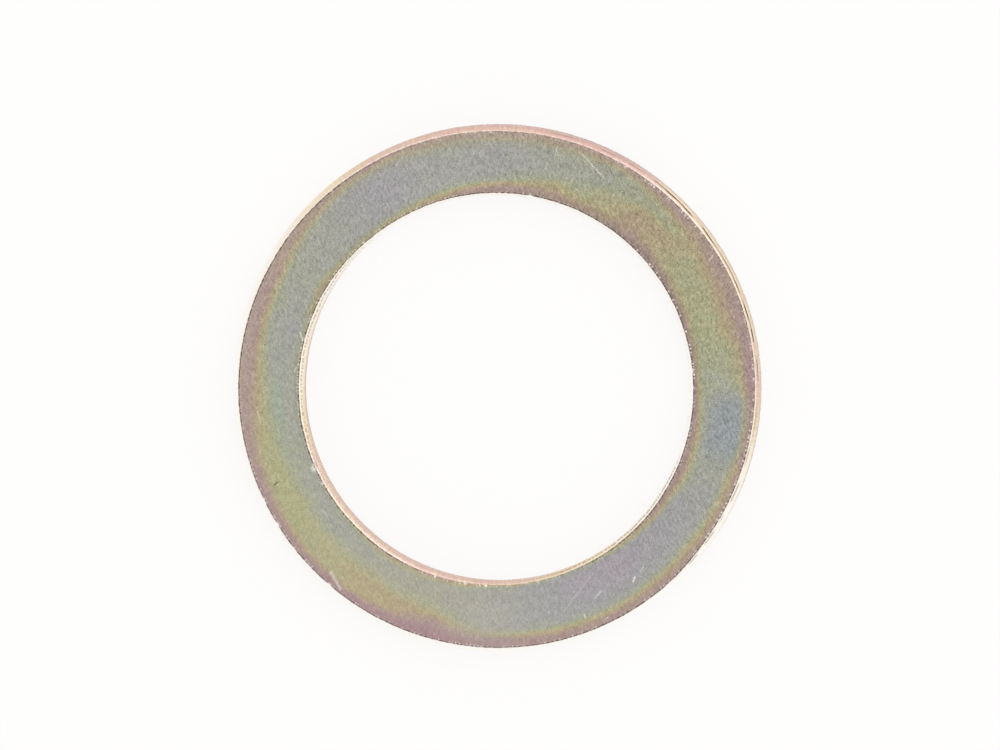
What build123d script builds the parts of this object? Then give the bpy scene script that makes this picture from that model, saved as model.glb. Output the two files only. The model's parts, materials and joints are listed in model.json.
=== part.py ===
"""Flat shim ring, sheared from steel sheet in one piece.

The ring lies flat on z = 0 with its axis on +Z. Shearing rolls the upper corners
over, leaves a smooth land below the roll, and then breaks the metal away to the
lower face. Sizes are in millimetres.
"""

import os

from build123d import *

# The ring
bore_diameter = 22.0
ring_width = 4.0
thickness = 2.0

# The rolled upper corners, each from the flat of the upper face to the wall
rim_roll_width = 0.3
rim_roll_depth = 0.24
bore_roll_width = 0.24
bore_roll_depth = 0.2

# The upper face is ground after shearing, so each roll drops away from it at an arris
arris_drop = 0.04

# The broken part of each wall, which leans back from the smooth land
break_height = 0.65
break_lean = 0.03

# The lower corners, deburred
lower_corner_radius = 0.1

bore_radius = bore_diameter / 2
rim_radius = bore_radius + ring_width


def sheared_wall(radius, outward, roll_width, roll_depth):
    """Draws one wall, from the lower face to the upper one.

    outward is 1 on the rim and -1 in the bore: the way that the wall faces.
    """
    lean_radius = radius - outward * break_lean
    corner_start = (lean_radius - outward * lower_corner_radius, 0)
    corner_end = (lean_radius, lower_corner_radius)
    land_start = (radius, break_height)
    land_end = (radius, thickness - roll_depth)
    arris_guide = (radius, thickness - arris_drop)
    arris = (radius - outward * roll_width, thickness)
    RadiusArc(corner_start, corner_end, -outward * lower_corner_radius)
    Polyline(corner_end, land_start, land_end)
    Bezier(land_end, arris_guide, arris)
    return corner_start, arris


with BuildPart() as shim_ring:
    with BuildSketch(Plane.XZ):
        with BuildLine():
            bore_foot, bore_arris = sheared_wall(bore_radius, -1, bore_roll_width, bore_roll_depth)
            rim_foot, rim_arris = sheared_wall(rim_radius, 1, rim_roll_width, rim_roll_depth)
            Line(bore_foot, rim_foot)
            Line(bore_arris, rim_arris)
        make_face()
    revolve(axis=Axis.Z)

shim_ring.part.label = "shim_ring"

os.makedirs("parts", exist_ok=True)
export_step(shim_ring.part, "parts/shim_ring.step")
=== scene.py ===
# A flat shim ring, sheared from steel sheet and zinc plated yellow, on a white table.
import json
import math

import bpy
import numpy as np
from mathutils import Matrix, Vector


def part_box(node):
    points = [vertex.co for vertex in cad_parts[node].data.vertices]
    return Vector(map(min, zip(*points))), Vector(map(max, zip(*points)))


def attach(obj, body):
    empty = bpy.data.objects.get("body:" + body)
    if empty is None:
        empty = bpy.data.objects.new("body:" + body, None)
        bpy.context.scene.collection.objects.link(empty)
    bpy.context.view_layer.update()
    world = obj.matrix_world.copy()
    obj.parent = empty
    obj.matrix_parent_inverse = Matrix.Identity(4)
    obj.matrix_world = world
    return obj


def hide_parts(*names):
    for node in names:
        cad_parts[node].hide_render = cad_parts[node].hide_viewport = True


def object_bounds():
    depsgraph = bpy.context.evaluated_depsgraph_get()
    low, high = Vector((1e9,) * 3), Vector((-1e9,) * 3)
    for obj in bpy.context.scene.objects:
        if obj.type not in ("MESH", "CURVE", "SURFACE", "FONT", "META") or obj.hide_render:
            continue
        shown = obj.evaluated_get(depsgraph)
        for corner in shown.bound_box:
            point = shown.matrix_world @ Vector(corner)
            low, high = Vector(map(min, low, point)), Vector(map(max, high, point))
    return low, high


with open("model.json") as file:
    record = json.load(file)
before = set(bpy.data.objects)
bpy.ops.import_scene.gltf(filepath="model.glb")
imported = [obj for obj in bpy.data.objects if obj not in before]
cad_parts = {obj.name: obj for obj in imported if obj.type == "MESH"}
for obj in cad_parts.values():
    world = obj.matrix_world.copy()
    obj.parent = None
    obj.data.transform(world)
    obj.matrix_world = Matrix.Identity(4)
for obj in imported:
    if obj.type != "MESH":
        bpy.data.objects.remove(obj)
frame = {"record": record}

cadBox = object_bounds()
mm = 0.001
print("frame loaded")


# A socket that can be used in a Python expression. Each operator adds its Math node.
class Wire:
    def __init__(self, shader, socket):
        self.shader, self.socket = shader, socket

    def __add__(self, other):
        return self.shader.maths("ADD", self, other)

    def __radd__(self, other):
        return self.shader.maths("ADD", other, self)

    def __sub__(self, other):
        return self.shader.maths("SUBTRACT", self, other)

    def __rsub__(self, other):
        return self.shader.maths("SUBTRACT", other, self)

    def __mul__(self, other):
        return self.shader.maths("MULTIPLY", self, other)

    def __rmul__(self, other):
        return self.shader.maths("MULTIPLY", other, self)

    # Another output of the same node.
    def other(self, name):
        return Wire(self.shader, self.socket.node.outputs[name])


# One node tree, emptied and then filled by the calls below.
class Shader:
    def __init__(self, owner):
        owner.use_nodes = True
        self.tree = owner.node_tree
        self.tree.nodes.clear()

    # Any node: its type, then its settings, then the values or wires of its sockets.
    def node(self, kind, settings=None, sockets=None, output=0):
        made = self.tree.nodes.new("ShaderNode" + kind)
        for name, value in (settings or {}).items():
            if name == "stops":
                self.setStops(made.color_ramp, value)
            else:
                setattr(made, name, value)
        for name, value in (sockets or {}).items():
            if isinstance(value, Wire):
                self.tree.links.new(value.socket, made.inputs[name])
            else:
                made.inputs[name].default_value = value
        return Wire(self, made.outputs[output]) if made.outputs else None

    def setStops(self, ramp, stops):
        while len(ramp.elements) < len(stops):
            ramp.elements.new(1.0)
        for element, (place, colour) in zip(ramp.elements, stops):
            element.position = place
            element.color = (*colour, 1)

    def maths(self, operation, first, second=0.0):
        return self.node("Math", {"operation": operation}, {0: first, 1: second})

    # A value kept at or below 1.
    def capped(self, value):
        return self.maths("MINIMUM", value, 1.0)

    def vectors(self, operation, first, second, output=0):
        return self.node("VectorMath", {"operation": operation}, {0: first, 1: second}, output)

    def scaled(self, vector, amount):
        return self.node("VectorMath", {"operation": "SCALE"}, {0: vector, "Scale": amount})

    # Mixes two colours.
    def mix(self, amount, first, second, blend="MIX"):
        settings = {"data_type": "RGBA", "blend_type": blend}
        return self.node("Mix", settings, {0: amount, 6: first, 7: second}, 2)

    # 0 below low, 1 above high, and a smooth rise between.
    def step(self, value, low, high):
        settings = {"interpolation_type": "SMOOTHSTEP"}
        return self.node("MapRange", settings, {0: value, 1: low, 2: high, 3: 0.0, 4: 1.0})

    # 1 where a value is within inner of zero, 0 where it is further off than outer.
    def line(self, value, inner, outer):
        return 1 - self.step(self.maths("ABSOLUTE", value), inner, outer)

    def attribute(self, name):
        return self.node("Attribute", {"attribute_name": name}, None, 2)

    def noise(self, place, perMm, detail=2.0, rough=0.5):
        sockets = {"Vector": place, "Scale": perMm, "Detail": detail, "Roughness": rough}
        return self.node("TexNoise", None, sockets)

    # Noise drawn out into strokes that lie at an angle to X, stretch times as long as wide.
    def strokes(self, place, degrees, perMm, stretch, detail=2.0, rough=0.5):
        turned = self.node("Mapping", {"vector_type": "TEXTURE"}, {
            "Vector": place, "Rotation": (0, 0, math.radians(degrees)), "Scale": (stretch, 1, 1)})
        return self.noise(turned, perMm, detail, rough)


# An sRGB colour as 0 to 255 numbers, turned into the linear numbers that sockets take.
def paint(*rgb):
    parts = [c / 255 for c in rgb]
    return tuple(p / 12.92 if p <= 0.04045 else ((p + 0.055) / 1.055) ** 2.4 for p in parts)


# The ring. Lengths are in mm and angles in degrees round +Z from +X.
ring = {
    "stepsRound": 1300,
    "faceSteps": 17,
    "rollSteps": 13,
    "landSteps": 3,
    "breakSteps": 4,
    "cornerSteps": 3,
    "rimRoll": (0.30, 0.24),        # width and depth of the rolled upper corner at the rim
    "boreRoll": (0.24, 0.20),
    "arrisDrop": 0.04,
    "breakHeight": 0.65,
    "rimLean": 0.01,                # how far the broken part of each wall leans back
    "boreLean": 0.06,
    "cornerRadius": 0.1,
    # how far out from its true circle each upper arris lies: the shearing wasn't even
    "rimShift": [(0, .03), (12, .08), (30, .08), (42, .02), (55, 0), (75, -.01), (95, -.035),
                 (120, -.04), (140, -.015), (155, .02), (180, .055), (210, .065), (250, .075),
                 (275, .10), (312, .09), (322, 0), (340, 0), (350, .015)],
    "boreShift": [(0, -.025), (30, -.04), (50, -.05), (65, -.065), (85, -.09), (120, -.10),
                  (132, -.08), (148, .02), (165, .06), (195, .065), (220, .04), (245, .03),
                  (265, -.03), (300, -.035), (330, -.025)],
    "arrisWander": 0.008,           # how far the arrises waver besides
    "breakRoughness": 0.012,
    "burnishDepth": 0.003,          # upright streaks that the die leaves on the walls
    "breakBlend": 0.05,             # height over which the land gives way to broken metal
    "tearWidth": 0.028,
    "tearWander": 0.012,            # how far the torn grooves stray from their line
    "seed": 11,
}

# Torn grooves along the rolls: how much of them shows at each angle, how far outside the arris
# they run, how deep they are, the fewest and most waves round the ring in their dashes, and how
# far those waves are raised, so that more of the groove is cut.
tears = {
    "rim": {"much": [(0, .1), (5, .5), (10, 1), (50, 1), (54, .25), (75, .2), (90, 0), (312, 0),
                     (318, .4), (345, .4), (355, .2)],
            "away": [(0, .21), (10, .22), (52, .22), (70, .25), (316, .085), (345, .10)],
            "depth": 0.04, "waves": (25, 70), "raised": 0.7},
    "bore": {"much": [(130, 0), (142, .4), (175, .4), (200, .3), (225, .1), (250, 0), (276, 0),
                      (292, .45), (335, .5), (342, 0)],
             "away": [(140, .11), (200, .11), (270, .20), (300, .19), (340, .13)],
             "depth": 0.02, "waves": (110, 400), "raised": 0.9},
}

# Nicks in the arrises: wall, angle, length along, depth. Small ones are added by chance.
nicks = {
    "placed": [("bore", 203.5, 0.22, 0.07), ("bore", 80.2, 0.13, 0.05), ("bore", 5.6, 0.12, 0.05),
               ("rim", 229.6, 0.30, 0.04), ("rim", 206, 0.22, 0.05), ("rim", 212, 0.16, 0.05),
               ("rim", 218.4, 0.12, 0.04), ("bore", 252, 0.07, 0.03), ("bore", 261, 0.08, 0.03),
               ("bore", 267, 0.07, 0.03)],
    "small": 220,
    "smallLength": (0.04, 0.10),
    "smallDepth": (0.006, 0.022),
    "acrossArris": 0.05,            # how far a nick reaches across its arris, besides its depth
    "bareDepth": 0.03,              # a nick this deep is bare metal all through
}

mounts = {m["name"]: m for m in frame["record"]["mounts"]}
boreRadius = mounts["bore"]["dims"]["r_mm"]
rimRadius = mounts["rim"]["dims"]["r_mm"]
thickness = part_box("shim_ring")[1].z / mm
random = np.random.default_rng(ring["seed"])


# One wall from the lower face up to the arris: a quarter circle at the foot, a straight lean
# back over the broken part, a straight land, then a curve between three points for the roll,
# (1-t)^2 start + 2t(1-t) guide + t^2 end.
def wallSection(radius, outward, roll, leanBack):
    width, depth = roll
    lean = radius - outward * leanBack
    corner = ring["cornerRadius"]
    turn = np.linspace(0, math.pi / 2, ring["cornerSteps"] + 1)
    r = [lean - outward * corner * (1 - np.sin(turn))]
    z = [corner * (1 - np.cos(turn))]
    up = np.linspace(0, 1, ring["breakSteps"] + 1)[1:]
    r.append(lean + (radius - lean) * up)
    z.append(corner + (ring["breakHeight"] - corner) * up)
    up = np.linspace(0, 1, ring["landSteps"] + 1)[1:]
    r.append(np.full(len(up), radius))
    z.append(ring["breakHeight"] + (thickness - depth - ring["breakHeight"]) * up)
    t = np.linspace(0, 1, ring["rollSteps"] + 1)[1:]
    start, guide, end = radius, radius, radius - outward * width
    r.append((1 - t) ** 2 * start + 2 * t * (1 - t) * guide + t ** 2 * end)
    start, guide, end = thickness - depth, thickness - ring["arrisDrop"], thickness
    z.append((1 - t) ** 2 * start + 2 * t * (1 - t) * guide + t ** 2 * end)
    return np.concatenate(r), np.concatenate(z)


# Values given at a few angles, joined by straight runs and then smoothed by a moving average
# whose weight falls off as exp(-(angle/blur)^2 / 2).
def roundRing(pairs, blur=5.0):
    at, value = np.array(pairs, float).T
    run = np.interp(angles, at, value, period=360)
    away = np.minimum(angles, 360 - angles)
    weight = np.exp(-0.5 * (away / blur) ** 2)
    return np.real(np.fft.ifft(np.fft.fft(run) * np.fft.fft(weight / weight.sum())))


# A closed wavy line: cosines of whole numbers of waves round the ring, with chance phases.
def wander(fewest, most, count=60):
    waves = random.integers(fewest, most, count)
    phase = random.uniform(0, 2 * math.pi, count)
    return np.cos(np.outer(np.radians(angles), waves) + phase).sum(1) / math.sqrt(count / 2)


# The same over two directions: whole waves round the ring, any number per mm up the wall.
def wanderSheet(along, fewest, most, perMm, count=80):
    waves = random.integers(fewest, most, count)
    climb = random.uniform(-perMm, perMm, count) * 2 * math.pi
    phase = random.uniform(0, 2 * math.pi, count)
    total = np.zeros((len(angles), len(along)))
    for w, c, p in zip(waves, climb, phase):
        total += np.cos(np.radians(angles)[:, None] * w + along[None, :] * c + p)
    return total / math.sqrt(count / 2)


# A bump of height 1: exp(-(distance/reach)^2).
def bump(distance, reach):
    return np.exp(-(distance / reach) ** 2)


# How far each angle is from another, between -180 and 180.
def turnFrom(centre):
    return (angles - centre + 180) % 360 - 180


angles = np.arange(ring["stepsRound"]) * 360 / ring["stepsRound"]
boreR, boreZ = wallSection(boreRadius, -1, ring["boreRoll"], ring["boreLean"])
rimR, rimZ = wallSection(rimRadius, 1, ring["rimRoll"], ring["rimLean"])
boreArris, rimArris = boreR[-1], rimR[-1]

# The face's points, with two more close to each arris, and the underside's.
close = np.array([0.03, 0.065])
s = np.linspace(0, 1, ring["faceSteps"] + 1)[1:-1]
s = 0.75 * s + 0.125 * (1 - np.cos(math.pi * s))
faceR = np.concatenate([boreArris + close, boreArris + (rimArris - boreArris) * s,
                        rimArris - close[::-1]])
underR = np.array([rimR[0] - 0.02, rimR[0] - 1.2, boreR[0] + 1.2, boreR[0] + 0.02])

sectionR = np.concatenate([boreR, faceR, rimR[::-1], underR])
sectionZ = np.concatenate([boreZ, np.full(len(faceR), thickness), rimZ[::-1], np.zeros(len(underR))])
index = np.arange(len(sectionR))
boreEnd, rimStart = len(boreR) - 1, len(boreR) + len(faceR)
onBore = index <= boreEnd
onRim = (index >= rimStart) & (index < rimStart + len(rimR))
under = index >= rimStart + len(rimR)
onFace = ~(onBore | onRim | under)
nearRim = onRim | ((onFace | under) & (sectionR > (boreRadius + rimRadius) / 2))
side = np.where(nearRim, 1, -1)

# How far each point lies past its arris along the section: negative on the faces.
length = np.concatenate([[0], np.cumsum(np.hypot(np.diff(sectionR), np.diff(sectionZ)))])
past = np.where(onBore, length[boreEnd] - length, length - length[rimStart])
past = np.where(onFace, -np.minimum(sectionR - boreArris, rimArris - sectionR), past)
past = np.where(under, -1.0, past)
across = np.clip((sectionR - boreArris) / (rimArris - boreArris), 0, 1)

radial = np.zeros((len(angles), len(sectionR)))      # + is outwards
lift = np.zeros_like(radial)
chipped = np.zeros_like(radial)                      # where bright metal shows

# The arrises' shift and waver fade down the rolls as (1 - distance / roll)^1.5, and are shared
# out over the face between them.
shift = {}
for wall, outward in (("bore", -1), ("rim", 1)):
    waver = ring["arrisWander"] * (wander(40, 420) + 0.6 * wander(5, 40))
    shift[wall] = roundRing(ring[wall + "Shift"], 3.0) + outward * 0.6 * waver
    roll = math.hypot(*ring[wall + "Roll"])
    fade = np.clip(1 - past / roll, 0, 1) ** 1.5 * (onBore if wall == "bore" else onRim)
    radial += shift[wall][:, None] * fade[None, :]
radial += np.where(onFace, shift["bore"][:, None] * (1 - across) + shift["rim"][:, None] * across, 0)

# Each tear is a groove along the wall, cut where a raised wavy line stands above zero.
tornMuch, tornAway = {}, {}
for wall, tear in tears.items():
    mask, outward = (onRim, 1) if wall == "rim" else (onBore, -1)
    dashes = np.clip(tear["raised"] + wander(*tear["waves"]), 0, 1.2)
    tornMuch[wall] = roundRing(tear["much"], 1.0) * dashes
    tornAway[wall] = roundRing(tear["away"], 3.0) + ring["tearWander"] * wander(10, 60)
    groove = bump(past[None, :] - tornAway[wall][:, None], ring["tearWidth"]) * mask[None, :]
    groove *= tornMuch[wall][:, None] * tear["depth"]
    radial -= outward * groove * 0.7
    lift -= groove * 0.7

# Nicks: dents centred on an arris, each a bump along the ring times a bump across the section.
allNicks = list(nicks["placed"])
for chance in random.uniform(0, 1, (nicks["small"], 4)):
    wall = "rim" if chance[0] < 0.5 else "bore"
    long, deep = (low + (high - low) * c for (low, high), c in
                  ((nicks["smallLength"], chance[2]), (nicks["smallDepth"], chance[3] ** 2)))
    allNicks.append((wall, 360 * chance[1], long, deep))
for wall, centre, long, deep in allNicks:
    outward, radius = (1, rimArris) if wall == "rim" else (-1, boreArris)
    along = np.radians(turnFrom(centre)) * radius
    fromArris = np.where((side == outward) & ~under, np.abs(past), 9.0)
    dent = bump(along, long)[:, None] * bump(fromArris, nicks["acrossArris"] + deep)[None, :]
    lift -= dent * deep
    radial -= outward * dent * deep * 0.5
    chipped = np.maximum(chipped, dent * min(1, deep / nicks["bareDepth"]))

# The walls: fine upright streaks on the land, and rough torn metal below it.
onWall = (onBore | onRim) & (past > 0.12)
torn = 1 / (1 + np.exp((sectionZ - ring["breakHeight"]) / ring["breakBlend"])) * onWall
streaks = np.clip(wander(150, 600), 0, 3)
radial -= side * streaks[:, None] * ring["burnishDepth"] * (onWall * (1 - torn))[None, :]
rough = np.clip(0.8 + wanderSheet(sectionZ, 60, 500, 2.5), 0, 3)
radial -= side * rough * ring["breakRoughness"] * torn[None, :] * (sectionZ > 0.02)[None, :]

lift = np.minimum(lift, 0)
radial = np.where(onRim[None, :], np.clip(radial, None, rimRadius - sectionR), radial)
radial = np.where(onBore[None, :], np.clip(radial, boreRadius - sectionR, None), radial)
print("section of", len(sectionR), "points carried through", len(angles), "steps")


# The plating's film. On the faces it grows from a thin middle to thick edges: for a share u of
# the reach in from an edge, the change is (edge - middle) / (1 + u^power). Spots add a bump each.
film = {
    "rimReach": [(0, .17), (8, .20), (20, .20), (40, .18), (50, .13), (60, .09), (75, .15), (90, .13),
                 (105, .15), (118, .10), (128, .12), (138, .16), (150, .23), (170, .26), (182, .22),
                 (195, .20), (210, .17), (225, .15), (240, .15), (255, .26), (268, .22), (280, .20),
                 (300, .22), (320, .23), (335, .17), (347, .12)],
    "rimPower": [(0, 5), (50, 5), (62, 7), (80, 5), (270, 5), (290, 3.5), (315, 2.6), (332, 3),
                 (345, 5)],
    "rimFilm": [(0, 1.0), (12, .90), (30, .86), (60, .88), (90, .86), (135, .86), (160, .87), (180, .85),
                (200, .94), (220, .97), (240, 1.0), (255, 1.02), (275, .94), (300, .93), (320, .90),
                (345, .84)],
    "boreReach": [(0, .08), (20, .09), (32, .13), (45, .17), (60, .17), (78, .20), (92, .17), (105, .13),
                  (120, .10), (140, .08), (150, .12), (160, .06), (222, .03), (230, .05), (262, .05),
                  (270, .03), (292, .03), (305, .07), (320, .12), (335, .17), (345, .18)],
    "borePower": [(0, 5)],
    "boreFilm": [(0, .95), (30, .92), (45, .90), (60, .80), (75, .88), (92, .90), (103, .84), (115, .68),
                 (140, .62), (152, .82), (164, .56), (200, .4), (222, .6), (232, .85), (255, .88),
                 (270, .7), (300, .5), (315, .8), (330, .9), (345, .95)],
    "middle": [(0, .46), (8, .52), (15, .59), (32, .58), (45, .58), (58, .43), (75, .40), (90, .27),
               (105, .33), (121, .19), (134, .33), (150, .43), (165, .34), (180, .42), (195, .42),
               (210, .42), (225, .43), (240, .46), (252, .46), (262, .40), (270, .33), (283, .22),
               (292, .12), (303, .02), (316, .10), (328, .14), (338, .40), (343, .42), (347, .34),
               (354, .36)],
    # angle, share across from the bore, half length in degrees, half width, change, power
    "spots": [(22, .74, 18, .16, .14, 2), (45, .70, 6, .07, -.10, 2), (48, .50, 7, .12, .14, 2),
              (52, .36, 12, .16, .20, 2), (74, .27, 11, .10, .14, 2), (48, .20, 8, .12, .08, 2),
              (118, .52, 8, .14, -.08, 2), (164, .30, 8, .14, -.10, 2), (178, .72, 13, .13, .24, 2),
              (156, .78, 9, .08, .14, 2), (203, .58, 20, .20, .19, 2), (222, .60, 16, .20, .10, 2),
              (240, .62, 12, .20, .22, 2), (254, .68, 7, .12, .22, 2), (228, .20, 22, .14, -.05, 2),
              (300, .28, 14, .16, -.04, 2), (330, .25, 8, .10, .06, 2), (352, .58, 7, .24, -.20, 4)],
    "underTurn": 140,               # the underside wears the same film, turned by this much
    # on the rolls and walls, where it is thinner, and how it changes further out; near 0 the rolls are
    # painted near white, a painted reflection of the white surroundings
    "rimWall": [(0, .60), (8, .54), (20, .52), (45, .52), (53, .70), (62, .90), (74, .88),
                (84, .72), (100, .70), (118, .60), (128, .40), (140, .24), (155, .08), (175, 0),
                (312, 0), (325, .06), (338, .12), (347, .28), (354, .48)],
    "rimOuter": [(0, -.04), (10, -.14), (50, -.14), (60, .10), (110, .12), (125, 0), (135, -.10),
                 (165, 0), (330, -.04)],
    "boreWall": [(0, 0), (125, 0), (138, .10), (160, .20), (178, .27), (188, .42), (200, .58),
                 (230, .62), (255, .66), (275, .64), (286, .52), (300, .36), (320, .16), (340, 0)],
    "boreOuter": [(0, 0), (180, 0), (200, .06), (270, .06), (300, 0)],
    "outerStarts": (.36, .06),      # where that change sets in, mm past the arris, and how softly
    "lowWall": .58,                 # the least it is on the upright walls, below the rolls
    "lowWander": .07,
    "lowStarts": (.55, .05),
}

# Patches where the face's colour leaves the run of the film's colours: angle, share across, half
# length in degrees, half width, colour, amount, power. And by angle, how bright the face is, which is
# painted light and shade, how much it darkens towards the bore, over how many mm, and how strong its
# grain is.
faceTones = {
    "patches": [(350, .58, 8, .28, (152, 160, 162), .72, 4),     # blue
                (20, .32, 14, .18, (168, 174, 136), .50, 2),     # two greens
                (187, .36, 14, .10, (161, 172, 157), .60, 2),
                (268, .55, 6, .30, (181, 176, 168), .60, 2),     # pale grey
                (206, .60, 17, .20, (172, 175, 133), .55, 2),    # yellow
                (256, .94, 7, .10, (171, 138, 141), .60, 2),     # crimson
                (98, .86, 36, .09, (169, 162, 149), .70, 2),     # two dull greys
                (264, .80, 9, .12, (177, 166, 156), .50, 2),
                (168, .93, 22, .12, (180, 162, 154), .60, 2),    # pale pink
                (250, .28, 18, .22, (175, 168, 154), .50, 2)],   # warm grey
    "shade": [(0, .95), (20, .93), (45, .90), (75, .94), (100, 1.0), (135, .98), (165, 1.0),
              (195, 1.05), (240, 1.07), (285, 1.04), (315, .98), (345, .96)],
    "boreDark": [(0, .10), (20, .14), (45, .17), (75, .12), (95, .06), (120, .10), (140, .14),
                 (165, .12), (200, .10), (225, .06), (250, .02), (285, .04), (320, .08)],
    "boreDarkWide": 0.35,
    "grain": [(0, 1.2), (67, 1.2), (112, 1), (157, 1), (202, .7), (247, .54), (292, .7), (337, 1)],
}

# The thin lines along the arrises: how much of each shows, by angle.
edgeLines = {
    # the dark line is grime along the arris and painted shade, strongest on the side away from the lamp
    "dark": {
        "rim": [(0, .2), (10, .15), (40, .3), (50, .5), (58, .2), (100, .15), (116, .3), (126, .8),
                (150, 1), (178, 1), (190, .7), (205, .6), (225, .7), (245, .8), (262, .6),
                (275, .5), (290, .8), (312, .95), (320, .8), (345, .8), (353, .3)],
        "bore": [(0, 1), (60, 1), (100, .9), (125, .7), (140, .6), (150, .9), (200, .9), (240, .7),
                 (250, .2), (262, 0), (285, .1), (298, .6), (315, 1)]},
    # the bright line is a painted highlight, on the side towards the lamp
    "bright": {
        "rim": [(0, .7), (10, .6), (25, .8), (38, 1), (50, 1), (56, .6), (70, .4), (90, .4),
                (105, .5), (122, .7), (135, .4), (150, .1), (165, 0), (305, 0), (318, .8),
                (330, 1), (350, .9)],
        "bore": [(135, 0), (146, .9), (180, 1), (240, .9), (250, .2), (262, .05), (285, .2),
                 (310, .3), (335, 0)]},
    "specks": {
        "rim": [(0, .9), (8, .6), (30, .4), (40, .9), (52, .9), (58, .3), (90, .2), (120, .1),
                (185, .2), (192, .7), (222, .7), (230, .5), (290, .6), (310, .5), (322, .9),
                (355, 1)],
        "bore": [(0, .4), (5, 1), (44, 1), (50, .3), (66, .2), (78, .8), (88, .6), (96, .2),
                 (108, .6), (120, .5), (135, .7), (180, .6), (190, .3), (245, .3), (255, .7),
                 (270, .6), (290, .4), (320, .3), (335, .5), (350, .6)]},
    # how dark the foot of each wall is painted: painted shade where the wall meets the table
    "foot": {
        "rim": [(0, .4), (45, .4), (54, .9), (110, 1), (128, .6), (140, .4), (320, .3)],
        "bore": [(0, .4), (170, .4), (195, .7), (210, 1), (275, 1.1), (295, .9), (330, .6), (345, .4)]},
    "seen": {"rim": (300, 640), "bore": (220, 480)},     # waves round the ring in the specks
    # where each line runs, in mm past the arris or past the tear, and the half widths that it
    # is full and gone at
    "runs": {"dark": (-0.035, 0.018, 0.052), "bright": (0.045, 0.008, 0.042),
             "specks": (-0.080, 0.028, 0.070), "tear": (0, 0.024, 0.058), "lip": (0.095, 0.012, 0.050)},
    # where the painted shade at the foot sets in, mm past the arris, and how strong it is
    "footStarts": (1.25, 1.45),
    "footMuch": 0.35,
}


# The film over the points of the section, for the upper face.
def filmOnFace():
    part = {k: roundRing(film[k], 4.0)[:, None] for k in
            ("rimReach", "rimPower", "rimFilm", "boreReach", "borePower", "boreFilm", "middle")}
    share = across[None, :]
    total = part["middle"].copy()
    for wall, inward in (("rim", 1 - share), ("bore", share)):
        fall = 1 + (inward / part[wall + "Reach"]) ** part[wall + "Power"]
        total = total + (part[wall + "Film"] - part["middle"]) / fall
    for centre, place, long, wide, change, power in film["spots"]:
        away = np.abs(turnFrom(centre))[:, None] / long
        total += change * np.exp(-away ** power - (np.abs(share - place) / wide) ** power)
    return np.clip(total, 0, 1)


# One value for each angle on the rim's half of the section, another on the bore's.
def bothSides(rim, bore):
    return np.where(nearRim[None, :], rim[:, None], bore[:, None])


# 0 near the arris and 1 far past it: 1 / (1 + exp((start - past) / softness)).
def setsIn(start, softness):
    return 1 / (1 + np.exp((start - past) / softness))[None, :]


faceFilm = filmOnFace()
turned = np.roll(faceFilm, round(film["underTurn"] / 360 * len(angles)), 0)
# The rolls' film, which near 0 gives a painted reflection in near white.
wallFilm, outerChange = (bothSides(*(roundRing(film[wall + part], 2.0) for wall in ("rim", "bore")))
                         for part in ("Wall", "Outer"))
wallFilm = wallFilm + outerChange * setsIn(*film["outerStarts"])
lowWall = film["lowWall"] + film["lowWander"] * wander(1, 6, 12)[:, None] - wallFilm
wallFilm = wallFilm + np.maximum(lowWall, 0) * setsIn(*film["lowStarts"])
attributes = {
    "past": np.broadcast_to(past, radial.shape),
    "wall": np.broadcast_to((onBore | onRim).astype(float), radial.shape),
    "faceFilm": np.where(under[None, :], turned, faceFilm),
    "wallFilm": np.clip(wallFilm, 0, 1),
    "chipped": np.clip(chipped, 0, 1),
    "tearMuch": bothSides(tornMuch["rim"], tornMuch["bore"]),
    "tearAway": bothSides(tornAway["rim"], tornAway["bore"]),
}
for key in ("dark", "bright", "specks", "foot"):
    parts = []
    for wall in ("rim", "bore"):
        much = roundRing(edgeLines[key][wall], 1.5)
        if key == "specks":
            much = much * np.clip(1.8 * wander(*edgeLines["seen"][wall]) - 1.3, 0, 1)
        elif key != "foot":
            much = much * np.clip(0.85 + 0.5 * wander(60, 560), 0.1, 1.5)
        parts.append(np.clip(much, 0, 1.2))
    attributes[key] = bothSides(*parts)


# Each patch is laid over the ones before it, as amount * exp(-(angle/long)^power -
# (share/wide)^power). The fourth number of facePatch is how much the patches hide.
facePatch = np.zeros((*radial.shape, 4))
for centre, share, long, wide, colour, amount, power in faceTones["patches"]:
    away = (np.abs(turnFrom(centre))[:, None] / long) ** power
    away = away + (np.abs(across - share)[None, :] / wide) ** power
    cover = (amount * np.exp(-away))[..., None]
    facePatch[..., :3] = facePatch[..., :3] * (1 - cover) + np.array(paint(*colour)) * cover
    facePatch[..., 3:] += (1 - facePatch[..., 3:]) * cover
facePatch[..., :3] /= np.maximum(facePatch[..., 3:], 1e-4)
dim = roundRing(faceTones["boreDark"], 5.0)[:, None] * bump(past, faceTones["boreDarkWide"])[None, :]
grainMuch = roundRing(faceTones["grain"], 15.0)
attributes["grainMuch"] = np.broadcast_to(grainMuch[:, None], radial.shape)
attributes["facePatch"] = facePatch
# Painted light and shade round the ring, times the darkening towards the bore.
attributes["shade"] = roundRing(faceTones["shade"], 8.0)[:, None] * (1 - dim * (side < 0)[None, :])


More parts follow.
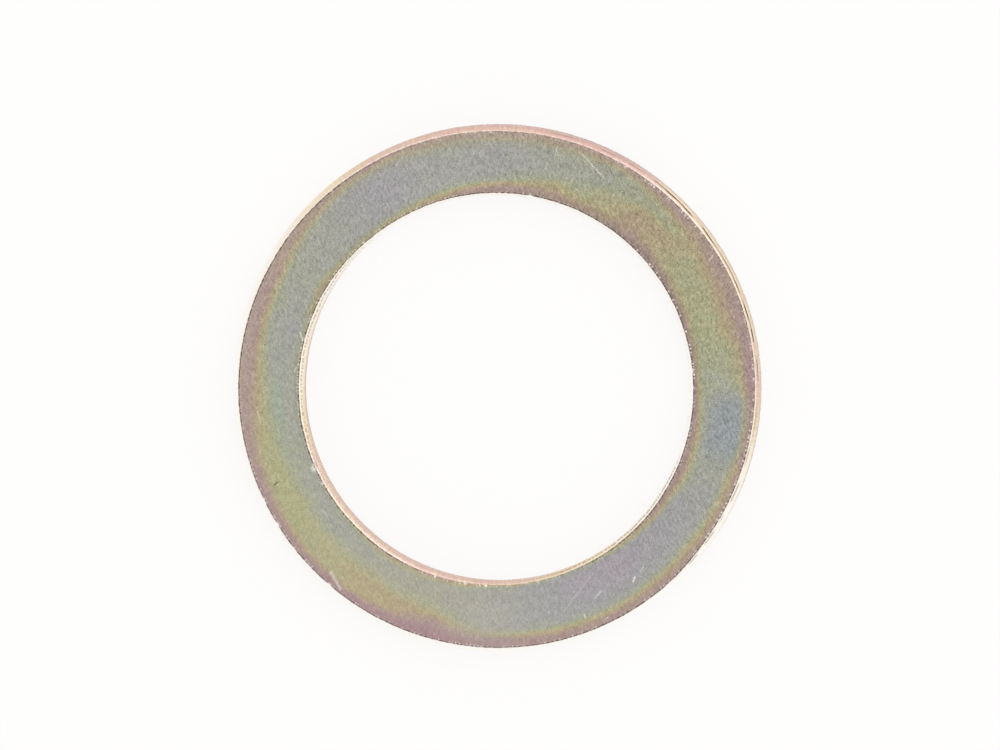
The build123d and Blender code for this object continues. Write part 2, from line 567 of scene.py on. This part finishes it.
# The grid becomes a mesh closed both ways, with its corners also laid out flat, in mm round the
# ring and along the section, for the streaks on the walls.
def gridMesh(name, x, y, z, attributes):
    rows, columns = x.shape
    i, j = np.meshgrid(np.arange(rows), np.arange(columns), indexing="ij")
    nextI, nextJ = (i + 1) % rows, (j + 1) % columns
    faces = np.stack([i * columns + j, i * columns + nextJ, nextI * columns + nextJ,
                      nextI * columns + j], -1).reshape(-1, 4)
    mesh = bpy.data.meshes.new(name)
    mesh.vertices.add(rows * columns)
    mesh.vertices.foreach_set("co", np.stack([x, y, z], -1).astype(np.float32).ravel())
    mesh.loops.add(faces.size)
    mesh.loops.foreach_set("vertex_index", faces.astype(np.int32).ravel())
    mesh.polygons.add(len(faces))
    mesh.polygons.foreach_set("loop_start", np.arange(0, faces.size, 4, dtype=np.int32))
    mesh.polygons.foreach_set("use_smooth", np.ones(len(faces), bool))
    along = np.append(length, length[-1] + 0.02)
    u = np.stack([i, i, i + 1, i + 1], -1) / rows * 2 * math.pi * rimRadius
    v = along[np.stack([j, j + 1, j + 1, j], -1)]
    layer = mesh.uv_layers.new(name="flat")
    layer.data.foreach_set("uv", np.stack([u, v], -1).astype(np.float32).ravel())
    for key, values in attributes.items():
        kind, field = ("FLOAT", "value") if values.ndim == 2 else ("FLOAT_COLOR", "color")
        made = mesh.attributes.new(key, kind, "POINT")
        made.data.foreach_set(field, values.astype(np.float32).ravel())
    mesh.update(calc_edges=True)
    mesh.validate()
    made = bpy.data.objects.new(name, mesh)
    bpy.context.scene.collection.objects.link(made)
    return made


turn = np.radians(angles)[:, None]
radius = (sectionR[None, :] + radial) * mm
level = np.clip(sectionZ[None, :] + lift, 0, thickness) * mm
y = np.clip(radius * np.sin(turn), cadBox[0].y, cadBox[1].y)     # the CAD box is cut from facets
platedRing = gridMesh("plated_ring", radius * np.cos(turn), y, level, attributes)
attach(platedRing, "root")
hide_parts("shim_ring")
print("ring made:", len(platedRing.data.polygons), "faces")


# The plated steel.
plating = {
    "faceColours": [(0.00, paint(170, 161, 167)), (0.12, paint(167, 163, 166)),
                    (0.28, paint(167, 166, 162)), (0.42, paint(169, 169, 156)),
                    (0.50, paint(171, 172, 147)), (0.58, paint(177, 173, 142)),
                    (0.67, paint(181, 170, 136)), (0.78, paint(179, 161, 137)),
                    (0.89, paint(175, 154, 145)), (1.00, paint(170, 143, 144))],
    # the rolls' colours: a thin film's tint, and at the pale end also a painted reflection
    "wallColours": [(0.00, paint(252, 249, 243)), (0.15, paint(247, 240, 228)),
                    (0.32, paint(238, 222, 197)), (0.48, paint(224, 204, 174)),
                    (0.62, paint(218, 191, 177)), (0.78, paint(213, 178, 165)),
                    (1.00, paint(203, 168, 162))],
    "darkLine": paint(98, 86, 82),
    "tearStain": paint(104, 84, 58),
    "lipColour": paint(246, 236, 208),
    # bare metal, also used as the painted highlight along the arrises
    "bareMetal": paint(246, 238, 230),
    "scratch": paint(238, 232, 226),
    "stain": paint(70, 60, 48),
    "wallMetal": 0.45,
    "roughness": 0.36,
    "specular": 0.2,
    "filmWaver": (0.20, 0.13),      # how far broad and middling noise move the film
    # marks on the upper face, in mm from the ring's centre: x, y to x, y, width, and how pale
    "marks": [
        ((4.89, 13.39), (6.13, 12.02), 0.07, 0.45), ((4.36, 11.56), (5.07, 10.90), 0.06, 0.22),
        ((3.44, 13.69), (3.29, 13.03), 0.06, 0.30), ((4.15, 10.65), (4.46, 10.95), 0.06, 0.25),
        ((5.51, -10.49), (3.84, -12.68), 0.08, 0.20), ((5.97, -11.51), (5.62, -11.91), 0.10, 0.40),
        ((7.90, -10.70), (7.80, -10.95), 0.10, 0.80), ((5.00, -12.83), (5.08, -13.06), 0.08, 0.70),
        ((8.41, -9.99), (8.20, -10.39), 0.07, 0.35), ((6.38, -12.98), (6.20, -13.13), 0.07, 0.40),
        ((12.34, 7.65), (12.11, 7.33), 0.08, 0.45), ((-11.21, 3.18), (-11.05, 2.62), 0.08, 0.60),
        ((-11.44, 1.15), (-11.54, 0.93), 0.07, 0.50), ((-13.66, -1.36), (-13.46, -1.98), 0.08, 0.35),
        ((-9.45, -10.55), (-9.12, -11.12), 0.20, 0.42), ((-9.08, -11.20), (-8.91, -11.48), 0.15, 0.50),
        ((-12.53, -5.40), (-12.70, -5.55), 0.08, -0.85),
    ],
}

# The grain's noises: angle to X, waves per mm and stretch of the strokes, waves per mm of the rest.
grainLook = {
    "strokes": (113, 7.5, 2.6), "crossing": (62, 6.5, 2.2), "glints": (100, 9.0, 1.5),
    "finePerMm": 14.0, "dustPerMm": 8.0, "patchesPerMm": 1.3,
}

steel = bpy.data.materials.new("yellow plated steel")
nodes = Shader(steel)
here = nodes.node("TexCoord", None, None, 3)
place = nodes.scaled(here, 1 / mm)
flat = nodes.node("UVMap", {"uv_map": "flat"})
faceUp = nodes.step(nodes.node("SeparateXYZ", None, {0: here}, 2), 1.5 * mm, 1.6 * mm)
wavy = nodes.noise(place, 6.0, 3, 0.6) - 0.5
past = nodes.attribute("past") + 0.05 * wavy
sheared = nodes.attribute("wall") * nodes.step(past, -0.004, 0.012)
onFace = 1 - sheared

# Film to colour. The contours waver at a few sizes.
broad, middling = nodes.noise(place, 0.8, 3, 0.55) - 0.5, nodes.noise(place, 3.2, 4, 0.6) - 0.5
broadly, locally = plating["filmWaver"]
faceFilm = nodes.attribute("faceFilm") + broadly * broad + locally * middling
faceColour = nodes.node("ValToRGB", {"stops": plating["faceColours"]}, {0: faceFilm})
facePatch = nodes.node("Attribute", {"attribute_name": "facePatch"})
cover = facePatch.other("Alpha") * (1 + 1.6 * middling)
faceColour = nodes.mix(cover, faceColour, facePatch)
upright = nodes.node("Mapping", None, {"Vector": flat, "Scale": (6.0, 0.7, 1)})
streak = nodes.noise(upright, 1.0, 3, 0.6) - 0.5
# The rolls' and walls' colour: a thin film's tint, and near white where a painted reflection is laid on
# by angle.
wallFilm = nodes.attribute("wallFilm")
wallFilm = wallFilm * (1 + 1.5 * streak + 0.7 * middling)
wallColour = nodes.node("ValToRGB", {"stops": plating["wallColours"]}, {0: wallFilm})
colour = nodes.mix(sheared, faceColour, wallColour)

# The face's grain: short strokes, gathered in patches, with pits and glints among them.
much = nodes.attribute("grainMuch") * onFace
strokes, crossing = (nodes.strokes(place, *grainLook[way], 3, 0.6) for way in ("strokes", "crossing"))
fine = nodes.noise(place, grainLook["finePerMm"], 1, 0.5)
apart = nodes.vectors("ADD", place, (5.1, 8.7, 0))
patches = nodes.step(nodes.noise(apart, grainLook["patchesPerMm"], 2, 0.5), 0.38, 0.60)
darker = nodes.step(strokes, 0.60, 0.74) * (0.3 + 0.7 * patches)
paler = (1 - nodes.step(crossing, 0.28, 0.40)) * (0.3 + 0.7 * patches)
dust = nodes.noise(nodes.vectors("ADD", place, (2.3, 6.1, 0)), grainLook["dustPerMm"], 1, 0.5)
pits = nodes.step(dust, 0.67, 0.75)
glints = nodes.step(nodes.strokes(place, *grainLook["glints"], 1), 0.71, 0.78)
grain = 0.95 * (strokes - 0.5) + 0.75 * (crossing - 0.5) + 0.8 * (fine - 0.5)
mottle = nodes.noise(place, 2.2, 3, 0.6) - 0.5
tone = grain + 0.30 * mottle - 0.28 * darker + 0.22 * paler - 0.40 * pits + 0.60 * glints
# Painted light and shade on the face, by angle.
shade = 1 + onFace * (nodes.attribute("shade") - 1)
bright = (1 + much * tone) * shade * (1 + 0.14 * sheared * streak)
grey = nodes.node("CombineColor", None, {0: bright, 1: bright, 2: bright})
colour = nodes.mix(1.0, colour, grey, "MULTIPLY")

# Scratches and rubs: near a straight run between two points, 1 - step(distance).
flatPlace = nodes.vectors("MULTIPLY", place, (1, 1, 0))
scratched = None
for start, end, wide, pale in plating["marks"]:
    run = np.subtract(end, start)
    away = nodes.vectors("SUBTRACT", flatPlace, (*start, 0))
    along = nodes.vectors("DOT_PRODUCT", away, (*(run / (run @ run)), 0), 1)
    along = nodes.capped(nodes.maths("MAXIMUM", along, 0.0))
    distance = nodes.vectors("DISTANCE", away, nodes.scaled((*run, 0), along), 1)
    ragged = distance + 0.8 * wide * (nodes.noise(place, 9.0) - 0.5)
    mark = (1 - nodes.step(ragged, 0.1 * wide, 0.75 * wide)) * faceUp * onFace
    tint = plating["scratch"] if pale > 0 else plating["stain"]
    colour = nodes.mix(mark * abs(pale), colour, (*tint, 1))
    scratched = mark if scratched is None else scratched + mark



# One of the thin lines: how much of it shows, times a line at its distance from another.
def thinLine(key, much, fromWhat):
    at, inner, outer = edgeLines["runs"][key]
    return nodes.attribute(much) * nodes.line(fromWhat - at, inner, outer)


# The thin lines along the arrises, then bright metal where they are nicked; the bright line along the
# arris is a painted highlight.
# Painted shade at the foot of the walls, by the table.
foot = nodes.attribute("foot") * nodes.step(past, *edgeLines["footStarts"]) * sheared
fromTear = past - nodes.attribute("tearAway")
tear, tearLip = (thinLine(key, "tearMuch", fromTear) for key in ("tear", "lip"))
# pale is the bright line, a painted highlight.
dark, pale, specks = (thinLine(key, key, past) for key in ("dark", "bright", "specks"))
chips = nodes.attribute("chipped") * nodes.step(nodes.noise(place, 8.0, 2), 0.35, 0.6)
colour = nodes.mix(foot * edgeLines["footMuch"], colour, (*plating["darkLine"], 1))
colour = nodes.mix(nodes.capped(tearLip), colour, (*plating["lipColour"], 1))
# A darker brown line painted along the torn grooves.
colour = nodes.mix(nodes.capped(tear), colour, (*plating["tearStain"], 1))
# Grime and painted shade along the arrises.
colour = nodes.mix(nodes.capped(dark), colour, (*plating["darkLine"], 1))
# Bare metal in nicks, bright specks, and the painted highlight of the bright line.
bareAndHighlight = nodes.maths("MAXIMUM", nodes.maths("MAXIMUM", pale, specks), chips)
colour = nodes.mix(nodes.capped(bareAndHighlight), colour, (*plating["bareMetal"], 1))

roughness = plating["roughness"] + 0.10 * mottle + 0.14 * sheared
metal = 1 - (1 - plating["wallMetal"]) * sheared * nodes.step(past, 0.02, 0.3)
depth = grain * 0.8 - 1.0 * darker - pits + 0.3 * nodes.noise(place, 1.4, 3) - 0.5 * scratched
relief = nodes.node("Bump", None, {"Strength": 0.30, "Distance": 0.02 * mm, "Height": depth})
surface = nodes.node("BsdfPrincipled", None, {
    "Base Color": colour, "Metallic": metal, "Roughness": roughness, "Normal": relief,
    "Specular IOR Level": plating["specular"]})
nodes.node("OutputMaterial", None, {"Surface": surface})
platedRing.data.materials.append(steel)
print("plated steel made")


# The board is a little below the ring, and ownShare is how much ordinary shading it keeps.
table = {"half": 3.0, "drop": 0.02 * mm, "colour": (0.985, 0.98, 0.975), "ownShare": 0.12}


# A white board. What sees it straight or by reflection sees its own white, with a share of
# ordinary shading left in so that the ring's shadow still falls on it. It is clear from below.
def makeTable():
    half, z = table["half"], -table["drop"]
    mesh = bpy.data.meshes.new("table")
    mesh.from_pydata([(-half, -half, z), (half, -half, z), (half, half, z), (-half, half, z)],
                     [], [(0, 1, 2, 3)])
    board = bpy.data.objects.new("table", mesh)
    bpy.context.scene.collection.objects.link(board)
    white = bpy.data.materials.new("white board")
    nodes = Shader(white)
    path = nodes.node("LightPath")
    seen = path.other("Is Camera Ray") + path.other("Is Glossy Ray") + path.other("Is Transmission Ray")
    own = nodes.node("Emission", None, {"Color": (*table["colour"], 1), "Strength": 1.0})
    shaded = nodes.node("BsdfDiffuse", None, {"Color": (*table["colour"], 1)})
    face = nodes.node("MixShader", None, {0: (1 - table["ownShare"]) * seen, 1: shaded, 2: own})
    below = nodes.node("NewGeometry").other("Backfacing")
    clear = nodes.node("BsdfTransparent")
    both = nodes.node("MixShader", None, {0: below, 1: face, 2: clear})
    nodes.node("OutputMaterial", None, {"Surface": both})
    mesh.materials.append(white)


lights = {
    "horizon": 1.0, "overhead": 0.86, "dimsFrom": 0.55,     # dimsFrom: how high up it starts to dim
    "keyAzimuth": 48, "keyZenith": 30, "keyDistance": 0.45, "keySize": 0.30, "keyPower": 0.40,
}


# A point at a distance from the origin, given by its angle round from +X and down from +Z.
def aim(azimuth, zenith, distance):
    a, z = math.radians(azimuth), math.radians(zenith)
    return Vector((math.sin(z) * math.cos(a), math.sin(z) * math.sin(a), math.cos(z))) * distance


# A sky that is white at the horizon and a little greyer overhead, and one large soft lamp.
def makeLights():
    world = bpy.data.worlds.new("studio")
    bpy.context.scene.world = world
    nodes = Shader(world)
    up = nodes.node("SeparateXYZ", None, {0: nodes.node("TexCoord")}, 2)
    high = nodes.step(up, lights["dimsFrom"], 1.0)
    level = lights["horizon"] + (lights["overhead"] - lights["horizon"]) * high
    sky = nodes.node("Background", None, {"Color": (1, 1, 1, 1), "Strength": level})
    nodes.node("OutputWorld", None, {"Surface": sky})
    lamp = bpy.data.lights.new("key", "AREA")
    lamp.size, lamp.energy = lights["keySize"], lights["keyPower"]
    lampObject = bpy.data.objects.new("key", lamp)
    spot = aim(lights["keyAzimuth"], lights["keyZenith"], lights["keyDistance"])
    lampObject.location = spot
    lampObject.rotation_euler = spot.to_track_quat("Z", "Y").to_euler()
    bpy.context.scene.collection.objects.link(lampObject)


shot = {
    "azimuth": 38, "tilt": 5.6, "distance": 1.0, "widthSeen": 56.9 * mm,
    "lookAt": (0.196 * mm, 0.780 * mm, 2.0 * mm),
}


def makeCamera():
    data = bpy.data.cameras.new("camera")
    data.sensor_width = 36
    data.lens = 36 * shot["distance"] / shot["widthSeen"]
    data.clip_start, data.clip_end = 0.01, 20
    camera = bpy.data.objects.new("camera", data)
    target = Vector(shot["lookAt"])
    back = aim(shot["azimuth"], shot["tilt"], 1.0)
    right = Vector((0, 1, 0)).cross(back).normalized()
    upward = back.cross(right)
    camera.matrix_world = Matrix((
        (right.x, upward.x, back.x, target.x + back.x * shot["distance"]),
        (right.y, upward.y, back.y, target.y + back.y * shot["distance"]),
        (right.z, upward.z, back.z, target.z + back.z * shot["distance"]),
        (0, 0, 0, 1)))
    bpy.context.scene.collection.objects.link(camera)
    bpy.context.scene.camera = camera


makeTable()
makeLights()
makeCamera()
bpy.context.scene.view_settings.view_transform = "Standard"
print("table, light and camera made")
